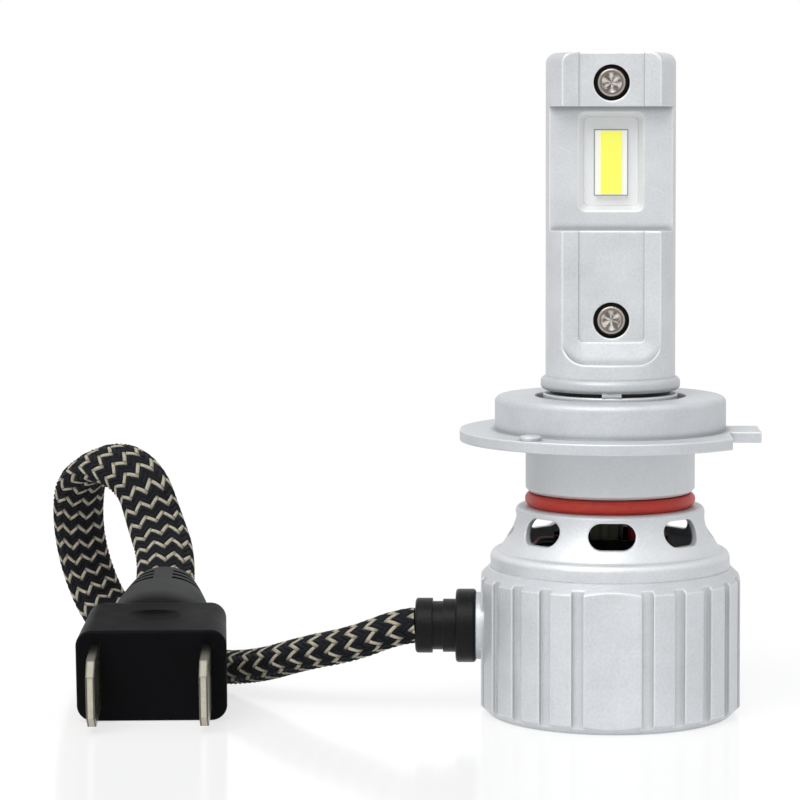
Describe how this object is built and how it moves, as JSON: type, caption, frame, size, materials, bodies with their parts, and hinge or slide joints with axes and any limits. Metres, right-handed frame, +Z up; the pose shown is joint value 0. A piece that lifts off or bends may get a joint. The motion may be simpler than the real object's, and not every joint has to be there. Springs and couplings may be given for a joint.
{
  "type": "headlight bulb",
  "caption": "LED headlight bulb with a slim metal post lit on both faces, a turning lift-off collar, a vented heat sink, a base fan and a braided lead with a two-blade plug.",
  "frame": {"origin": "centre of the underside of the fan housing, on the lamp's axis", "axes": "+Z up along the lamp's axis, the front light face looks towards -Y, the lead leaves towards -X and the collar's tab points to +X"},
  "size_m": [0.0718, 0.0502, 0.0619],
  "materials": {
    "cast_aluminium": "satin, blasted",
    "collar_metal": "satin",
    "post_metal": "satin, fine grain",
    "copper": "satin",
    "red_silicone": "satin",
    "black_rubber": "matte",
    "white_mask": "matte",
    "chip_white": "satin",
    "phosphor": "satin gel",
    "screw_steel": "polished",
    "fan_plastic": "matte",
    "magnet": "matte",
    "bronze": "satin",
    "stator_steel": "satin",
    "board_green": "satin",
    "driver_plastic": "matte",
    "ferrite": "matte",
    "capacitor_can": "satin",
    "wire_red": "satin",
    "wire_black": "satin",
    "braid": "woven, black with beige zigzag",
    "plug_plastic": "satin",
    "terminal_tin": "satin"
  },
  "bodies": {
    "lamp": {"fan_housing": "cast_aluminium", "inlet_guard": "fan_plastic", "heat_sink": "cast_aluminium", "seal_ring": "red_silicone", "post_base": "cast_aluminium", "post_front_shell": "post_metal", "post_rear_shell": "post_metal", "core_plate": "copper", "light_board_front": "white_mask", "light_board_rear": "white_mask", "light_chip_front": "chip_white", "light_chip_rear": "chip_white", "phosphor_front": "phosphor", "phosphor_rear": "phosphor", "post_screws": "screw_steel", "fan_frame": "fan_plastic", "fan_bearing": "bronze", "fan_stator": "stator_steel", "fan_board": "board_green", "driver_case": "driver_plastic", "driver_board": "board_green", "driver_coil": "ferrite", "driver_capacitor": "capacitor_can", "driver_chips": "driver_plastic", "wires_red": "wire_red", "wires_black": "wire_black", "cable_gland": "black_rubber", "lead_braid": "braid", "plug_housing": "plug_plastic", "plug_terminals": "terminal_tin"},
    "grip_ring": {"grip_ring": "black_rubber"},
    "collar": {"mounting_collar": "collar_metal"},
    "fan_rotor": {"fan_impeller": "fan_plastic", "fan_magnet": "magnet", "fan_shaft": "screw_steel"}
  },
  "joints": [
    {"name": "collar_lift", "type": "slide", "parent": "lamp", "child": "grip_ring", "axis": [0, 0, 1], "range_m": [0, 0.042]},
    {"name": "collar_turn", "type": "hinge", "parent": "grip_ring", "child": "collar", "pos_m": [0, 0, 0], "axis": [0, 0, 1], "continuous": true},
    {"name": "fan_spin", "type": "hinge", "parent": "lamp", "child": "fan_rotor", "pos_m": [0, 0, 0], "axis": [0, 0, 1], "continuous": true}
  ]
}
